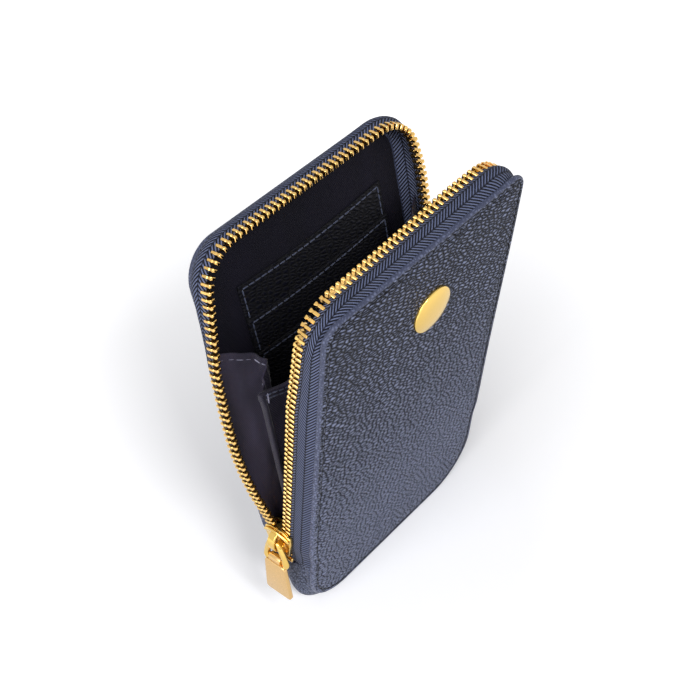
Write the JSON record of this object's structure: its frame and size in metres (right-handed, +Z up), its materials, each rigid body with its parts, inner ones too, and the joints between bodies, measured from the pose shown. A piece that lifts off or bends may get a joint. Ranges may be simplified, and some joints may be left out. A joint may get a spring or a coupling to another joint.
{
  "type": "phone pouch",
  "caption": "Upright zip-around phone pouch in pebbled leather, open in a V, with a metal zip, a pull tab, a centre divider and card slots.",
  "frame": {"origin": "centre of the base's bottom face, on the floor", "axes": "+X to the right seen from the front, front cover faces -Y, +Z up"},
  "size_m": [0.1103, 0.0626, 0.166],
  "materials": {
    "outer_leather": "pebbled grain, semi-matt",
    "inner_leather": "pebbled grain, semi-matt",
    "zip_tape": "herringbone weave",
    "zip_teeth": "polished gold plating",
    "gold_fittings": "satin gold plating",
    "lining_cloth": "woven twill",
    "satin_lining": "satin weave",
    "stiffening_board": "pressed fibre board",
    "steel_washer": "plain"
  },
  "bodies": {
    "base": {"base_gusset": "outer_leather", "base_board": "stiffening_board", "base_lining": "lining_cloth", "front_foot_leather": "outer_leather", "back_foot_leather": "outer_leather", "centre_divider": "satin_lining", "divider_hem": "satin_lining", "left_side_gusset": "satin_lining", "right_side_gusset": "satin_lining", "left_foot_tape": "zip_tape", "right_foot_tape": "zip_tape", "left_foot_teeth": "zip_teeth", "right_foot_teeth": "zip_teeth", "left_end_stop": "zip_teeth", "right_end_stop": "zip_teeth"},
    "front_cover": {"front_leather": "outer_leather", "front_board": "stiffening_board", "front_lining": "lining_cloth", "front_side_tape": "zip_tape", "front_top_tape": "zip_tape", "front_side_teeth": "zip_teeth", "front_top_teeth": "zip_teeth", "front_stud": "gold_fittings", "stud_washer": "steel_washer"},
    "back_cover": {"back_leather": "outer_leather", "back_board": "stiffening_board", "back_lining": "lining_cloth", "card_slot_top": "inner_leather", "card_slot_middle": "inner_leather", "card_slot_lower": "inner_leather", "back_side_tape": "zip_tape", "back_top_tape": "zip_tape", "back_side_teeth": "zip_teeth", "back_top_teeth": "zip_teeth"},
    "slider": {"slider_body": "gold_fittings", "slider_bridge": "gold_fittings"},
    "pull_link": {"pull_link": "gold_fittings"},
    "pull_tab": {"pull_tab": "gold_fittings"}
  },
  "joints": [
    {"name": "front_fold", "type": "hinge", "parent": "base", "child": "front_cover", "pos_m": [0, -0.01066, 0.03637], "axis": [-1, 0, 0], "range_deg": [0, 8.8], "deforming": ["front_side_tape", "front_side_teeth"]},
    {"name": "back_fold", "type": "hinge", "parent": "base", "child": "back_cover", "pos_m": [0, 0.01066, 0.03637], "axis": [1, 0, 0], "range_deg": [0, 8.8], "deforming": ["back_side_tape", "back_side_teeth", "left_side_gusset", "right_side_gusset"]},
    {"name": "slider_slide", "type": "slide", "parent": "base", "child": "slider", "axis": [0, 0, 1], "range_m": [0, 0.094]},
    {"name": "link_swing", "type": "hinge", "parent": "slider", "child": "pull_link", "pos_m": [-0.0558, 0, 0.04597], "axis": [0, 1, 0], "range_deg": [-3, 120]},
    {"name": "tab_swing", "type": "hinge", "parent": "pull_link", "child": "pull_tab", "pos_m": [-0.0558, 0, 0.03677], "axis": [0, 1, 0], "range_deg": [-8, 55]}
  ],
  "couplings": [
    {"joint": "back_fold", "follows": "front_fold", "ratio": 1},
    {"joint": "slider_slide", "follows": "front_fold", "m_per_rad": 0.61201}
  ]
}
